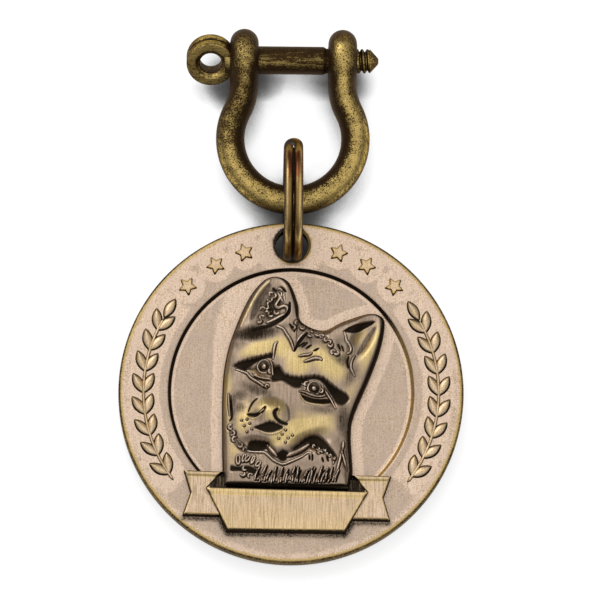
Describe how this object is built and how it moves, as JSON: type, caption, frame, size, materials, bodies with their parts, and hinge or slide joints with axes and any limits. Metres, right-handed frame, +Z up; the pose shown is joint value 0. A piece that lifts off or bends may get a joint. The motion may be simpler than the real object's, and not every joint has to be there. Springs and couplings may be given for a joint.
{
  "type": "dog tag",
  "caption": "Round antique-brass pet tag with a dog's head and ribbon in relief, hung by a split ring from a bow shackle with a screw pin.",
  "frame": {"origin": "on the table, under the middle of the whole object as it lies", "axes": "+X to the right across the tag, +Y from the tag to the shackle, +Z up from the table"},
  "size_m": [0.05, 0.0792, 0.0178],
  "materials": {
    "tag_bronze": "satin, mottled rose bronze",
    "relief_brass": "upright-brushed with dark patina in the hollows",
    "ribbon_brass": "upright-brushed",
    "ring_brass": "polished",
    "shackle_brass": "antique, mottled"
  },
  "bodies": {
    "shackle": {"shackle_bow": "shackle_brass"},
    "pin": {"shackle_pin": "shackle_brass"},
    "ring": {"split_ring": "ring_brass"},
    "tag": {"tag_disc": "tag_bronze", "dog_head": "relief_brass", "ribbon": "ribbon_brass"}
  },
  "joints": [
    {"name": "pin_draw", "type": "slide", "parent": "shackle", "child": "pin", "axis": [-1, 0, 0], "range_m": [0, 0.0215]},
    {"name": "ring_swing", "type": "hinge", "parent": "shackle", "child": "ring", "pos_m": [0, 0.01408, 0.00368], "axis": [-1, 0, 0], "range_deg": [-115, 90]},
    {"name": "tag_swing", "type": "hinge", "parent": "ring", "child": "tag", "pos_m": [0, 0.01291, 0.0089], "axis": [-1, 0, 0], "range_deg": [-10, 75]}
  ]
}
